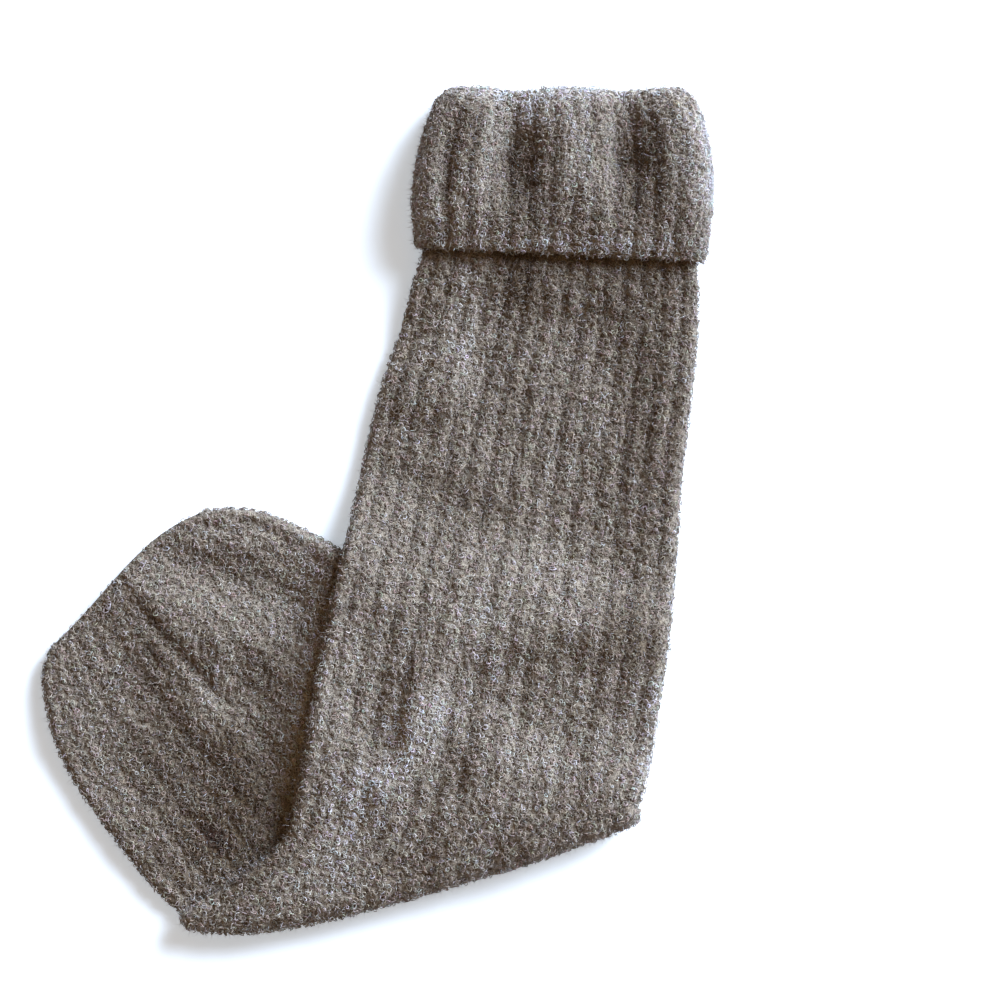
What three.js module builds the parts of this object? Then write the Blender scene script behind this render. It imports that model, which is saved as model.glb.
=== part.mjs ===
// A leg warmer of boucle rib knit, laid flat: its top is turned down into a gathered cuff,
// and its lower end is turned under and comes out to the left, narrowing to a gathered hem.
// Millimetres, +Z up. The part lies on Z = 0, seen from above with its cuff towards +Y.
import * as THREE from "three";

// Driving dimensions
const CLOTH = 2.4; // the wall, measured at the furrow between two ribs
const RIB_HEIGHT = 1.0; // how far a rib stands out of its furrows
const RIB_ROUNDNESS = 0.6; // 1 is a plain arch, and less is rounder with a narrower furrow
const RIB_SIDE_SHARE = 0.5; // how much of its height a rib keeps at the tube's two sides
const RIBS_PER_PANEL = 15; // ribs across the tube laid flat
const POINTS_PER_RIB = 4;
const HALF_THICK = 3.8; // half of the flattened tube, from furrow to furrow
const LAYER_GAP = 1.6; // between the leg and the end turned under it
const CUFF_CLOTH = 2.6;
const SEAM_GAP = 0.4; // between the leg's top end and the cuff's inner edge

// The leg's silhouette, from its top end inside the cuff down to the fold, a row for each section.
// leftX, leftY and rightX, rightY are its two edges, bow is how far it swells towards the fold
// (a skew below 1 puts the most of that left of the middle), and steps is how many rings are
// made before the next row.
const LEG_SECTIONS = [
  { leftX: 32.5, leftY: 177.3, rightX: 137.5, rightY: 176.4, bow: 0, skew: 1, steps: 1 },
  { leftX: 26.5, leftY: 155.5, rightX: 141, rightY: 153, bow: 0, skew: 1, steps: 1 },
  { leftX: 22.6, leftY: 133, rightX: 142.2, rightY: 129.5, bow: 0, skew: 1, steps: 1 },
  { leftX: 21.2, leftY: 118, rightX: 142.4, rightY: 113, bow: 0, skew: 1, steps: 2 },
  { leftX: 16.8, leftY: 103.5, rightX: 143.5, rightY: 99, bow: 0, skew: 1, steps: 2 },
  { leftX: 11, leftY: 82, rightX: 142.8, rightY: 74, bow: 0, skew: 1, steps: 3 },
  { leftX: 2, leftY: 55, rightX: 139.6, rightY: 44, bow: 0, skew: 1, steps: 3 },
  { leftX: -5.2, leftY: 25, rightX: 136, rightY: 12.5, bow: 0, skew: 1, steps: 3 },
  { leftX: -12.5, leftY: -8, rightX: 134, rightY: -19, bow: 0, skew: 1, steps: 3 },
  { leftX: -19.5, leftY: -37, rightX: 131, rightY: -50.5, bow: 0, skew: 1, steps: 3 },
  { leftX: -26, leftY: -67.5, rightX: 127, rightY: -81, bow: 0, skew: 1, steps: 3 },
  { leftX: -31, leftY: -97, rightX: 123, rightY: -107, bow: 1, skew: 0.8, steps: 2 },
  { leftX: -36, leftY: -126, rightX: 119.8, rightY: -122, bow: 2.5, skew: 0.7, steps: 1 },
  { leftX: -42, leftY: -147, rightX: 118.6, rightY: -127, bow: 4.5, skew: 0.65, steps: 1 },
  { leftX: -61, leftY: -163, rightX: 117.4, rightY: -129.8, bow: 7.5, skew: 0.65, steps: 1 },
  { leftX: -88.5, leftY: -181, rightX: 116, rightY: -131.5, bow: 10, skew: 0.65, steps: 1 },
];

// The end turned under, from the fold to the hem. Its right edge runs hidden below the leg.
const TURNED_SECTIONS = [
  { leftX: -88.5, leftY: -181, rightX: 116, rightY: -131.5, bow: 10, skew: 0.65, steps: 1 },
  { leftX: -100, leftY: -170, rightX: 85.5, rightY: -104, bow: 4.5, skew: 0.65, steps: 1 },
  { leftX: -113, leftY: -154, rightX: 51, rightY: -73, bow: 1.5, skew: 0.65, steps: 2 },
  { leftX: -126, leftY: -137, rightX: 20.5, rightY: -46.5, bow: 0, skew: 1, steps: 2 },
  { leftX: -136.5, leftY: -121, rightX: -6, rightY: -25.5, bow: 0, skew: 1, steps: 2 },
  { leftX: -144, leftY: -105, rightX: -25.5, rightY: -13.2, bow: 0, skew: 1, steps: 1 },
  { leftX: -148.5, leftY: -90, rightX: -41.5, rightY: -5, bow: 0, skew: 1, steps: 1 },
  { leftX: -150, leftY: -78, rightX: -55, rightY: -0.5, bow: -1, skew: 1.2, steps: 1 },
  { leftX: -149.2, leftY: -69, rightX: -68, rightY: 0.4, bow: -3, skew: 1.4, steps: 1 },
  { leftX: -145, leftY: -60, rightX: -78.5, rightY: -0.8, bow: -6, skew: 1.6, steps: 1 },
];

const FOLD_STEPS = 6; // rings round the half turn at the fold
const FOLD_CREASE_FADE = [0, 1.9]; // the leg's creases die out round it, between these two bends
const FOLD_RIB_FADE = [0.3, 1.8]; // and its ribs, stretched flat, between these two
const CUFFED_RIB_FADE = [1.5, 3]; // the ribs begin below the cuff, between these two rows
const TURNED_RIB_FADE = [0, 1.5]; // and come back on the turned end's upper side
const FOLD_OUT = new THREE.Vector2(0.22, -0.976); // away from the leg, square to the fold
const PINCH = { x: -88.5, y: -181, reach: 24, depth: 1.1 }; // the fold's left corner, pressed thin

// Where the leg climbs over the edge of the end turned under it
const STEP_EDGE = { fromX: -14.5, fromY: -17, toX: 122, toY: -75, before: 2, after: 42 };
const CUFF_LIFT = { height: 3.2, from: 112, to: 78 }; // the cuff's back wall holds the leg up

// The largest folds of the leg's front, lines from one point to another.
// height is up for a ridge and down for a trough, width is half of its breadth. Where the leg
// lies on the end turned under it, its lower panel follows a ridge by this share.
const LOWER_PANEL_SHARE = 0.5;
const INSIDE_RIDGE_SHARE = 0.7; // how far the inside of the wall follows a ridge
const LEG_FOLDS = [
  { fromX: 2, fromY: -70, toX: 150, toY: -44, height: 3.2, width: 12 },
  { fromX: 57, fromY: -158, toX: 112, toY: -112, height: 5, width: 20 },
  { fromX: 20, fromY: -75, toX: 113, toY: -62, height: -2.2, width: 20 },
  { fromX: 22, fromY: -75, toX: 18, toY: -122, height: 2, width: 7 },
  { fromX: 38, fromY: -40, toX: 9, toY: -101, height: 3.4, width: 12 },
  { fromX: -20, fromY: -24, toX: -33, toY: -140, height: 5, width: 17 },
  { fromX: -34, fromY: -88, toX: 10, toY: -135, height: 2.4, width: 13 },
  { fromX: 8, fromY: 59, toX: 40, toY: 55, height: 3.4, width: 16 },
  { fromX: 59, fromY: 100, toX: 44, toY: 52, height: -2.2, width: 13 },
  { fromX: -34, fromY: -4, toX: 17, toY: -52, height: 2.9, width: 14 },
  { fromX: 100, fromY: 92, toX: 110, toY: 22, height: -1, width: 12 },
  { fromX: 56, fromY: -91, toX: 42, toY: -119, height: 2.6, width: 7 },
  { fromX: 88, fromY: 96, toX: 84, toY: 30, height: -1.8, width: 9 },
  { fromX: 69, fromY: -4, toX: 119, toY: -17, height: -2, width: 20 },
  { fromX: 0, fromY: -19, toX: 35, toY: -17, height: -2, width: 20 },
  { fromX: 70, fromY: -104, toX: 26, toY: -160, height: 4, width: 15 },
  { fromX: 82, fromY: -94, toX: 93, toY: -124, height: -1.1, width: 8 },
  { fromX: 10, fromY: 90, toX: 17, toY: 52, height: -2, width: 12 },
  { fromX: 38, fromY: 41, toX: 116, toY: 10, height: -1.5, width: 13 },
  { fromX: 50, fromY: -103, toX: 142, toY: -97, height: -2.2, width: 19 },
  { fromX: 93, fromY: 63, toX: 125, toY: 60, height: -1.4, width: 20 },
  { fromX: 28, fromY: -68, toX: 2, toY: -136, height: 2.4, width: 8 },
];

// Each fold dies out over this stretch at both ends, as shares of its length
const FOLD_FADE = [-0.15, 0.25];

// The folds that run out from the gathered hem, on the turned end's upper side. The leg's weight
// presses them flat from this line on, which is the leg's left edge.
const PRESS_EDGE = { fromX: -12.5, fromY: -8, toX: -36, toY: -126, near: 4, free: 24 };
const TURNED_FOLDS = [
  { fromX: -116, fromY: -34, toX: -66, toY: -90, height: -1.8, width: 3.4 },
  { fromX: -106, fromY: -20, toX: -28, toY: -42, height: -2.2, width: 9.5 },
  { fromX: -118, fromY: -34, toX: -30, toY: -70, height: 4.4, width: 16 },
  { fromX: -97, fromY: -50, toX: -78, toY: -95, height: 2.8, width: 14 },
  { fromX: -150, fromY: -88, toX: -84, toY: -114, height: 2.2, width: 20 },
  { fromX: -90, fromY: -14, toX: -48, toY: -15, height: 1.4, width: 5 },
  { fromX: -140, fromY: -78, toX: -90, toY: -128, height: -2, width: 15 },
  { fromX: -106, fromY: -80, toX: -70, toY: -122, height: -1.8, width: 14 },
  { fromX: -138, fromY: -104, toX: -86, toY: -140, height: -1.8, width: 20 },
  { fromX: -71, fromY: -51, toX: -70, toY: -79, height: 1.2, width: 5 },
  { fromX: -80, fromY: -88, toX: -52, toY: -140, height: 2.4, width: 12 },
];

// The cuff's wall, ring by ring: up the outside, over the rolled top, down to the leg's end,
// and back down the inside. top and bottom are heights above the table.
// gather is the share of each gather's depth that the ring takes.
const CUFF_RINGS = [
  { leftX: 18.6, leftY: 117.6, rightX: 145.2, rightY: 111.4, top: 14.4, bottom: 1.2, gather: 0.1 },
  { leftX: 17.6, leftY: 120, rightX: 146.6, rightY: 113.6, top: 17, bottom: 0, gather: 0.15 },
  { leftX: 16.8, leftY: 129.5, rightX: 148.2, rightY: 126, top: 21, bottom: 0, gather: 0.35 },
  { leftX: 16.6, leftY: 141.5, rightX: 149.4, rightY: 140, top: 23.4, bottom: 0, gather: 0.8 },
  { leftX: 18.2, leftY: 155, rightX: 148.9, rightY: 155, top: 24, bottom: 0, gather: 1 },
  { leftX: 21.4, leftY: 168.5, rightX: 146.8, rightY: 169, top: 23.4, bottom: 0, gather: 0.95 },
  { leftX: 25.2, leftY: 179.2, rightX: 143.4, rightY: 179.6, top: 21.4, bottom: 0, gather: 0.83 },
  { leftX: 29.2, leftY: 186, rightX: 139, rightY: 186, top: 17.6, bottom: 1, gather: 0.6 },
  { leftX: 34.8, leftY: 189.4, rightX: 134.2, rightY: 189, top: 12.2, bottom: 3.2, gather: 0.2 },
  { leftX: 38.2, leftY: 186.6, rightX: 132.2, rightY: 186.4, top: 8.8, bottom: 4.9, gather: 0 },
  { leftX: 34.9, leftY: 177.3, rightX: 135.1, rightY: 176.4, top: 8.4, bottom: 5.6, gather: 0 },
  { leftX: 32.5, leftY: 177.3, rightX: 137.5, rightY: 176.4, top: 10.8, bottom: 3.2, gather: 0 },
  { leftX: 31, leftY: 181.6, rightX: 138.2, rightY: 181.6, top: 14.2, bottom: 2.7, gather: 0.3 },
  { leftX: 26, leftY: 174.5, rightX: 142.4, rightY: 175, top: 19, bottom: 2.6, gather: 0.7 },
  { leftX: 21.6, leftY: 161, rightX: 145.4, rightY: 161, top: 21, bottom: 2.6, gather: 0.88 },
  { leftX: 20, leftY: 141.5, rightX: 146.2, rightY: 140, top: 20.6, bottom: 2.6, gather: 0.75 },
  { leftX: 20.2, leftY: 128.5, rightX: 144.8, rightY: 124.5, top: 17.6, bottom: 2.6, gather: 0.3 },
  { leftX: 20.2, leftY: 119.6, rightX: 143.6, rightY: 113.4, top: 13, bottom: 2.6, gather: 0 },
];
const CUFF_OUTSIDE_RINGS = 9; // the first rings of the table, which carry the ribs
const CUFF_SEAM_RINGS = [10, 11]; // the two that face the leg's top end
const CUFF_EDGE = 7; // how far in from its side the cuff rounds over
const CUFF_TOP_Y = 190;
const CUFF_ROLL_Y = 177.5; // where the roll over the top begins
const CUFF_TOP_WAVE = 0.14; // how far the top edge dips at a gather, for each mm of its depth
const CUFF_FOOT_Y = 115;

// The cuff's gathers, as troughs that run from the elastic top towards its lower edge. Each has
// half a width to its left and to its right, and reach is the share of the way down where it
// ends. It is at its full depth over the first part.
const GATHER_HOLD = 0.4;
const CUFF_GATHERS = [
  { topX: 33, footX: 27, depth: 3.4, left: 4, right: 6, reach: 1.6 },
  { topX: 60, footX: 56, depth: 10, left: 8, right: 15, reach: 1.05 },
  { topX: 94, footX: 92, depth: 2.4, left: 3.5, right: 4.5, reach: 0.6 },
  { topX: 109, footX: 111, depth: 10, left: 8.5, right: 14, reach: 1.05 },
  { topX: 137, footX: 140, depth: 2, left: 4, right: 4, reach: 0.8 },
];

// Points across the hidden sides of a panel, closer together where its edges round over. The
// inside has them in the same places as the underside, so that both follow a fold alike.
const PLAIN_SHARES = [0, 0.012, 0.03, 0.06, 0.17, 0.28, 0.39, 0.5, 0.61, 0.72, 0.83, 0.94, 0.97, 0.988];
const INSIDE_SHARES = [0, 0.02, 0.06, 0.17, 0.28, 0.39, 0.5, 0.61, 0.72, 0.83, 0.94, 0.98];

const legZ = HALF_THICK + CUFF_LIFT.height; // the leg's middle inside the cuff

function smoothstep(from, to, value) {
  const share = THREE.MathUtils.clamp((value - from) / (to - from), 0, 1);
  return share * share * (3 - 2 * share);
}

// A table's row at any place between its rows, on a smooth curve through them
function rowAt(table, place) {
  const last = table.length - 1;
  const start = Math.min(Math.floor(place), last - 1);
  const share = place - start;
  const [before, from, to, after] = [-1, 0, 1, 2].map(
    (offset) => table[THREE.MathUtils.clamp(start + offset, 0, last)],
  );
  const row = {};
  for (const column of ["leftX", "leftY", "rightX", "rightY", "bow", "skew"]) {
    const slopeFrom = (to[column] - before[column]) / 2;
    const slopeTo = (after[column] - from[column]) / 2;
    const rise = to[column] - from[column];
    row[column] =
      from[column] +
      share * slopeFrom +
      share ** 2 * (3 * rise - 2 * slopeFrom - slopeTo) +
      share ** 3 * (slopeFrom + slopeTo - 2 * rise);
  }
  return row;
}

function widthOf(row) {
  return Math.hypot(row.rightX - row.leftX, row.rightY - row.leftY);
}

// A flattened tube's outline at one turn: 0 is its left edge, 0.5 its right edge, over the top
// and back below. edge is how far in from the sides it rounds over. lift runs from -1 to 1.
function outlineAt(turn, halfWidth, edge) {
  const over = turn < 0.5;
  const share = over ? turn * 2 : 2 - turn * 2;
  const arc = (Math.PI / 2) * edge;
  const flat = halfWidth - edge;
  const length = share * 2 * (flat + arc);
  const side = over ? 1 : -1;
  if (length < arc) {
    const angle = length / edge;
    const outward = -Math.cos(angle);
    return { across: edge * outward - flat, lift: side * Math.sin(angle), outward };
  }
  if (length > 2 * flat + arc) {
    const angle = (2 * (flat + arc) - length) / edge;
    const outward = Math.cos(angle);
    return { across: flat + edge * outward, lift: side * Math.sin(angle), outward };
  }
  return { across: length - arc - flat, lift: side, outward: 0 };
}

function ribAt(turn) {
  return RIB_HEIGHT * Math.abs(Math.sin(Math.PI * 2 * RIBS_PER_PANEL * turn)) ** RIB_ROUNDNESS;
}

// The height that a table of folds gives at one place, each a soft ridge or trough
function foldsAt(folds, x, y) {
  let height = 0;
  for (const fold of folds) {
    const alongX = fold.toX - fold.fromX;
    const alongY = fold.toY - fold.fromY;
    const length = Math.hypot(alongX, alongY);
    const along = ((x - fold.fromX) * alongX + (y - fold.fromY) * alongY) / length ** 2;
    const off = ((x - fold.fromX) * alongY - (y - fold.fromY) * alongX) / length;
    const ends = smoothstep(...FOLD_FADE, along) * smoothstep(...FOLD_FADE, 1 - along);
    height += fold.height * ends * Math.exp(-((off / fold.width) ** 2));
  }
  return height;
}

function halfThickAt(x, y) {
  const away = Math.hypot(x - PINCH.x, y - PINCH.y) / PINCH.reach;
  return HALF_THICK - PINCH.depth * Math.exp(-(away ** 2));
}

// How far a place is to the left of a line
function leftOf(line, x, y) {
  const alongX = line.toX - line.fromX;
  const alongY = line.toY - line.fromY;
  return ((y - line.fromY) * alongX - (x - line.fromX) * alongY) / Math.hypot(alongX, alongY);
}

// 1 where the leg lies over the end turned under it, falling to 0 where it lies on the table
function overTurnedEnd(x, y) {
  return 1 - smoothstep(STEP_EDGE.before, STEP_EDGE.after, leftOf(STEP_EDGE, x, y));
}

// 0 where the leg presses the turned end flat, rising to 1 away from the leg
function freedAt(x, y) {
  return smoothstep(PRESS_EDGE.near, PRESS_EDGE.free, -leftOf(PRESS_EDGE, x, y));
}

// The height of the leg's middle above the table
function legHeightAt(x, y) {
  const half = halfThickAt(x, y);
  const cuffed = smoothstep(CUFF_LIFT.to, CUFF_LIFT.from, y);
  return half + CUFF_LIFT.height * cuffed + (2 * half + LAYER_GAP) * overTurnedEnd(x, y);
}

// One ring of the leg's wall. bend is 0 on the leg, goes to half a turn round the fold, and stays
// there on the turned end. depth is how far inside the outline the ring lies.
function legRing(row, turns, { bend = 0, depth = 0, ribs = 0, folds = [] }) {
  const halfWidth = widthOf(row) / 2;
  const turnedOver = bend === Math.PI;
  const onLeg = bend === 0;
  return turns.map((turn) => {
    const point = outlineAt(turn, halfWidth - depth, HALF_THICK - depth);
    const share = 0.5 + point.across / (2 * halfWidth);
    const bow = row.bow * Math.sin(Math.PI * THREE.MathUtils.clamp(share, 0, 1) ** row.skew);
    let x = THREE.MathUtils.lerp(row.leftX, row.rightX, share) + bow * FOLD_OUT.x;
    let y = THREE.MathUtils.lerp(row.leftY, row.rightY, share) + bow * FOLD_OUT.y;
    const half = halfThickAt(x, y);
    const onTop = turnedOver ? point.lift < 0 : point.lift > 0;
    const rib = onTop ? ribs * ribAt(turn) : 0;
    const free = turnedOver ? freedAt(x, y) : 1;
    const bulge = free * Math.abs(point.lift) * foldsAt(folds, x, y);
    const fold = depth > 0 && bulge > 0 ? bulge * INSIDE_RIDGE_SHARE : bulge;
    const followed = onLeg ? Math.max(bulge, 0) * overTurnedEnd(x, y) * LOWER_PANEL_SHARE : 0;
    const crease = onTop ? fold : followed;
    const lift = point.lift * (half - depth + rib);
    const sideways = (rib * point.outward * RIB_SIDE_SHARE) / (2 * halfWidth);
    x += sideways * (row.rightX - row.leftX);
    y += sideways * (row.rightY - row.leftY);
    let z;
    if (onLeg) z = legHeightAt(x, y) + lift + crease;
    else if (turnedOver) z = half - lift + crease;
    else {
      const radius = half + LAYER_GAP / 2;
      const carried = onTop ? fold * (1 - smoothstep(...FOLD_CREASE_FADE, bend)) : 0;
      const roundFold = radius + lift + carried;
      x += FOLD_OUT.x * roundFold * Math.sin(bend);
      y += FOLD_OUT.y * roundFold * Math.sin(bend);
      z = half + radius + roundFold * Math.cos(bend);
    }
    return { turn, position: new THREE.Vector3(x, y, z) };
  });
}

function fineTurns() {
  const count = RIBS_PER_PANEL * POINTS_PER_RIB;
  return Array.from({ length: count }, (_, index) => index / count / 2);
}

function turnsAround(front, back) {
  return [...front, ...back.map((turn) => turn + 0.5)];
}

// Joins two rings of any number of points with one band of triangles
function joinRings(ringA, ringB, triangles) {
  const turnOf = (ring, index) => (index < ring.length ? ring[index].turn : 1 + ring[0].turn);
  let a = 0;
  let b = 0;
  while (a < ringA.length || b < ringB.length) {
    const nextA = a < ringA.length ? turnOf(ringA, a + 1) : Infinity;
    const nextB = b < ringB.length ? turnOf(ringB, b + 1) : Infinity;
    const cornerA = ringA[a % ringA.length].position;
    const cornerB = ringB[b % ringB.length].position;
    if (nextA <= nextB) {
      a += 1;
      triangles.push(cornerA, cornerB, ringA[a % ringA.length].position);
    } else {
      b += 1;
      triangles.push(cornerA, cornerB, ringB[b % ringB.length].position);
    }
  }
}

// A closed wall: rings joined one after the other, and the last to the first
function wallThrough(rings) {
  const triangles = [];
  rings.forEach((ring, index) => joinRings(ring, rings[(index + 1) % rings.length], triangles));
  return new THREE.BufferGeometry().setFromPoints(triangles);
}

// The places of a table's rings, as row numbers with fractions between the rows
function placesOf(table) {
  const places = [];
  table.slice(0, -1).forEach((row, index) => {
    for (let step = 0; step < row.steps; step += 1) places.push(index + step / row.steps);
  });
  return [...places, table.length - 1];
}

// The tube, knitted in one piece: leg, fold and turned end, outside and then back inside
function legGeometry() {
  const plain = PLAIN_SHARES.map((share) => share / 2);
  const inside = INSIDE_SHARES.map((share) => share / 2);
  const ribbedFront = turnsAround(fineTurns(), plain);
  const ribbedBack = turnsAround(plain, fineTurns());
  const insideTurns = turnsAround(inside, inside);
  const hemTurns = turnsAround(plain, fineTurns().filter((_, point) => point % 2 === 0));
  const lastPlace = TURNED_SECTIONS.length - 1;
  const foldRow = rowAt(LEG_SECTIONS, LEG_SECTIONS.length - 1);
  const legPlaces = placesOf(LEG_SECTIONS).slice(0, -1);
  const turnedPlaces = placesOf(TURNED_SECTIONS).slice(1);
  const outer = [];
  const inner = [];
  for (const place of legPlaces) {
    const row = rowAt(LEG_SECTIONS, place);
    const ribs = smoothstep(...CUFFED_RIB_FADE, place);
    outer.push(legRing(row, ribbedFront, { ribs, folds: LEG_FOLDS }));
    inner.push(legRing(row, insideTurns, { depth: CLOTH, folds: LEG_FOLDS }));
  }
  for (let step = 0; step <= FOLD_STEPS; step += 1) {
    // The ends stop just short of the flat, so that every ring here takes the fold's own form
    const bend = THREE.MathUtils.clamp((Math.PI * step) / FOLD_STEPS, 1e-6, Math.PI - 1e-6);
    const ribs = 1 - smoothstep(...FOLD_RIB_FADE, bend);
    outer.push(legRing(foldRow, ribbedFront, { bend, ribs, folds: LEG_FOLDS }));
    inner.push(legRing(foldRow, insideTurns, { bend, depth: CLOTH, folds: LEG_FOLDS }));
  }
  for (const place of turnedPlaces) {
    const row = rowAt(TURNED_SECTIONS, place);
    const ribs = smoothstep(...TURNED_RIB_FADE, place);
    outer.push(legRing(row, ribbedBack, { bend: Math.PI, ribs, folds: TURNED_FOLDS }));
    const turns = place === lastPlace ? hemTurns : insideTurns;
    inner.push(legRing(row, turns, { bend: Math.PI, depth: CLOTH, folds: TURNED_FOLDS }));
  }
  return wallThrough([...outer, ...inner.reverse()]);
}

function gathersAt(x, y) {
  const down = THREE.MathUtils.clamp((CUFF_TOP_Y - y) / (CUFF_TOP_Y - CUFF_FOOT_Y), 0, 1);
  let depth = 0;
  for (const gather of CUFF_GATHERS) {
    const off = x - THREE.MathUtils.lerp(gather.topX, gather.footX, down);
    const width = off < 0 ? gather.left : gather.right;
    const fading = 1 - smoothstep(gather.reach * GATHER_HOLD, gather.reach, down);
    depth += gather.depth * fading * Math.exp(-((off / width) ** 2));
  }
  return depth;
}

// One ring of the cuff's wall. The two rings at the seam keep clear of the leg's top end.
function cuffRing(row, index) {
  const outside = index < CUFF_OUTSIDE_RINGS;
  const atSeam = CUFF_SEAM_RINGS.includes(index);
  const plain = PLAIN_SHARES.map((share) => share / 2);
  const fine = fineTurns().filter((_, point) => outside || point % 2 === 0);
  const halfWidth = widthOf(row) / 2;
  const edge = outside ? CUFF_EDGE : Math.min(CUFF_EDGE - CUFF_CLOTH, row.top - row.bottom);
  const ribs = outside && row.gather > 0 ? 1 : 0;
  return turnsAround(fine, plain).map((turn) => {
    const point = outlineAt(turn, halfWidth, edge);
    const share = 0.5 + point.across / (2 * halfWidth);
    const x = THREE.MathUtils.lerp(row.leftX, row.rightX, share);
    const level = THREE.MathUtils.lerp(row.leftY, row.rightY, share) + (atSeam ? SEAM_GAP : 0);
    const y = level - CUFF_TOP_WAVE * gathersAt(x, level) * smoothstep(CUFF_ROLL_Y, CUFF_TOP_Y, level);
    const raise = point.lift > 0 ? row.top - legZ : legZ - row.bottom;
    let z = legZ + point.lift * raise;
    if (point.lift > 0) z += point.lift * (ribs * ribAt(turn) - row.gather * gathersAt(x, y));
    return { turn, position: new THREE.Vector3(x, y, z) };
  });
}

function cuffGeometry() {
  return wallThrough(CUFF_RINGS.map(cuffRing).reverse());
}

function cloth(name, geometry) {
  geometry.computeVertexNormals();
  const material = new THREE.MeshStandardMaterial({ color: "#756e69", roughness: 0.95, metalness: 0 });
  const mesh = new THREE.Mesh(geometry, material);
  mesh.name = name;
  return mesh;
}

const legWarmer = new THREE.Group();
legWarmer.add(cloth("leg", legGeometry()));
legWarmer.add(cloth("cuff", cuffGeometry()));

export default legWarmer;
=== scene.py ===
# %% [markdown]
# # A leg warmer of boucle rib knit, folded flat
#
# This lesson dresses a imported CAD frame. The frame has two solids, `leg` and `cuff`, which stay
# in the scene, hidden. Each is covered by a thin closed shell of knit that follows the same
# sections, with uneven ribs and nubs on top. Thousands of small yarn curls and loose fibres then
# lie on the shells. Lengths are written in millimetres and turned into metres when a mesh is made.

import bpy
import numpy as np
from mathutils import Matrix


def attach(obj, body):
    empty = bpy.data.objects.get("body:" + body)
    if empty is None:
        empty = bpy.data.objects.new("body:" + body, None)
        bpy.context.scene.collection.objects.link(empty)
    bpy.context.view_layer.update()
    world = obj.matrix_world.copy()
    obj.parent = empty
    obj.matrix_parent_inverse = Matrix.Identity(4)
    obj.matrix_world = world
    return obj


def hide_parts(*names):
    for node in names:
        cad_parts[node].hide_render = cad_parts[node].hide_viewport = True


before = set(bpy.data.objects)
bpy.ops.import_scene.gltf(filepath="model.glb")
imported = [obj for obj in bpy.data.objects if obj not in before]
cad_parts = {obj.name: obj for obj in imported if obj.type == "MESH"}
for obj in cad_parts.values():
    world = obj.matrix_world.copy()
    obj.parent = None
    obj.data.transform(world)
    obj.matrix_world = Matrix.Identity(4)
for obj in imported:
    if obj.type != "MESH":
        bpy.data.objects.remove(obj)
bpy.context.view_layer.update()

# %% [markdown]
# ## The garment's sizes
#
# Each row of a table is one section of the flattened tube: the plan positions of its left and
# right edges, `bow`, how far the section swells towards the fold, and `skew`, which moves the
# most of that left of the middle when it is below 1. The leg runs from its top end, hidden in
# the cuff, down to the fold. The turned end runs from the fold to the hem.
#
# The numbers below the tables say where the fold's left corner is pinched thinner, where the
# leg steps down from the turned end to the table, along which line its edge presses the turned
# end flat, how that end swells up beside the edge, and how far the cuff lifts the leg.

# %% Sizes and sections
MM = 0.001
CLOTH = 2.4  # the wall at a furrow
RIB_HEIGHT = 1.4
RIBS_PER_PANEL = 15
HALF_THICK = 3.8  # half of the flattened tube
LAYER_GAP = 1.6  # between the leg and the end turned under it
LEFT_X, LEFT_Y, RIGHT_X, RIGHT_Y = range(4)

LEG_SECTIONS = np.array([
    # left x, left y, right x, right y, bow, skew
    (32.5, 177.3, 137.5, 176.4, 0, 1),
    (26.5, 155.5, 141, 153, 0, 1),
    (22.6, 133, 142.2, 129.5, 0, 1),
    (21.2, 118, 142.4, 113, 0, 1),
    (16.8, 103.5, 143.5, 99, 0, 1),
    (11, 82, 142.8, 74, 0, 1),
    (2, 55, 139.6, 44, 0, 1),
    (-5.2, 25, 136, 12.5, 0, 1),
    (-12.5, -8, 134, -19, 0, 1),
    (-19.5, -37, 131, -50.5, 0, 1),
    (-26, -67.5, 127, -81, 0, 1),
    (-31, -97, 123, -107, 1, 0.8),
    (-36, -126, 119.8, -122, 2.5, 0.7),
    (-42, -147, 118.6, -127, 4.5, 0.65),
    (-61, -163, 117.4, -129.8, 7.5, 0.65),
    (-88.5, -181, 116, -131.5, 10, 0.65),
])
TURNED_SECTIONS = np.array([
    (-88.5, -181, 116, -131.5, 10, 0.65),
    (-100, -170, 85.5, -104, 4.5, 0.65),
    (-113, -154, 51, -73, 1.5, 0.65),
    (-126, -137, 20.5, -46.5, 0, 1),
    (-136.5, -121, -6, -25.5, 0, 1),
    (-144, -105, -25.5, -13.2, 0, 1),
    (-148.5, -90, -41.5, -5, 0, 1),
    (-150, -78, -55, -0.5, -1, 1.2),
    (-149.2, -69, -68, 0.4, -3, 1.4),
    (-145, -60, -78.5, -0.8, -6, 1.6),
])
FOLD_AT = len(LEG_SECTIONS) - 1  # the place where the half turn begins
TURNED_AT = FOLD_AT + 1  # and where it ends
HEM_AT = TURNED_AT + len(TURNED_SECTIONS) - 1
FOLD_OUT = np.array([0.22, -0.976])  # away from the leg, square to the fold
FOLD_CREASE_FADE = 1.9  # the leg's creases die out round the fold, before this bend
PINCH_X, PINCH_Y, PINCH_REACH, PINCH_DEPTH = -88.5, -181, 24, 1.1
STEP_FROM, STEP_TO = np.array([-14.5, -17.0]), np.array([122.0, -75.0])
STEP_BEFORE, STEP_AFTER = 2, 42  # the step begins and ends so far past that line
PRESS_FROM, PRESS_TO = np.array([-12.5, -8.0]), np.array([-36.0, -126.0])
PRESS_NEAR, PRESS_FREE = 4, 24  # how far from that line the turned end is pressed flat, and free
LIP_HEIGHT, LIP_UNDER, LIP_OUT = 6.6, 1.4, 14  # the swelling, and its widths below and beside
LIP_STARTS, LIP_STOPS = (-0.15, 0.1), (0.75, 1.05)  # along the line, as shares of it
LOWER_PANEL_SHARE = 0.5  # how far the leg's lower panel follows a ridge above the turned end
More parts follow.
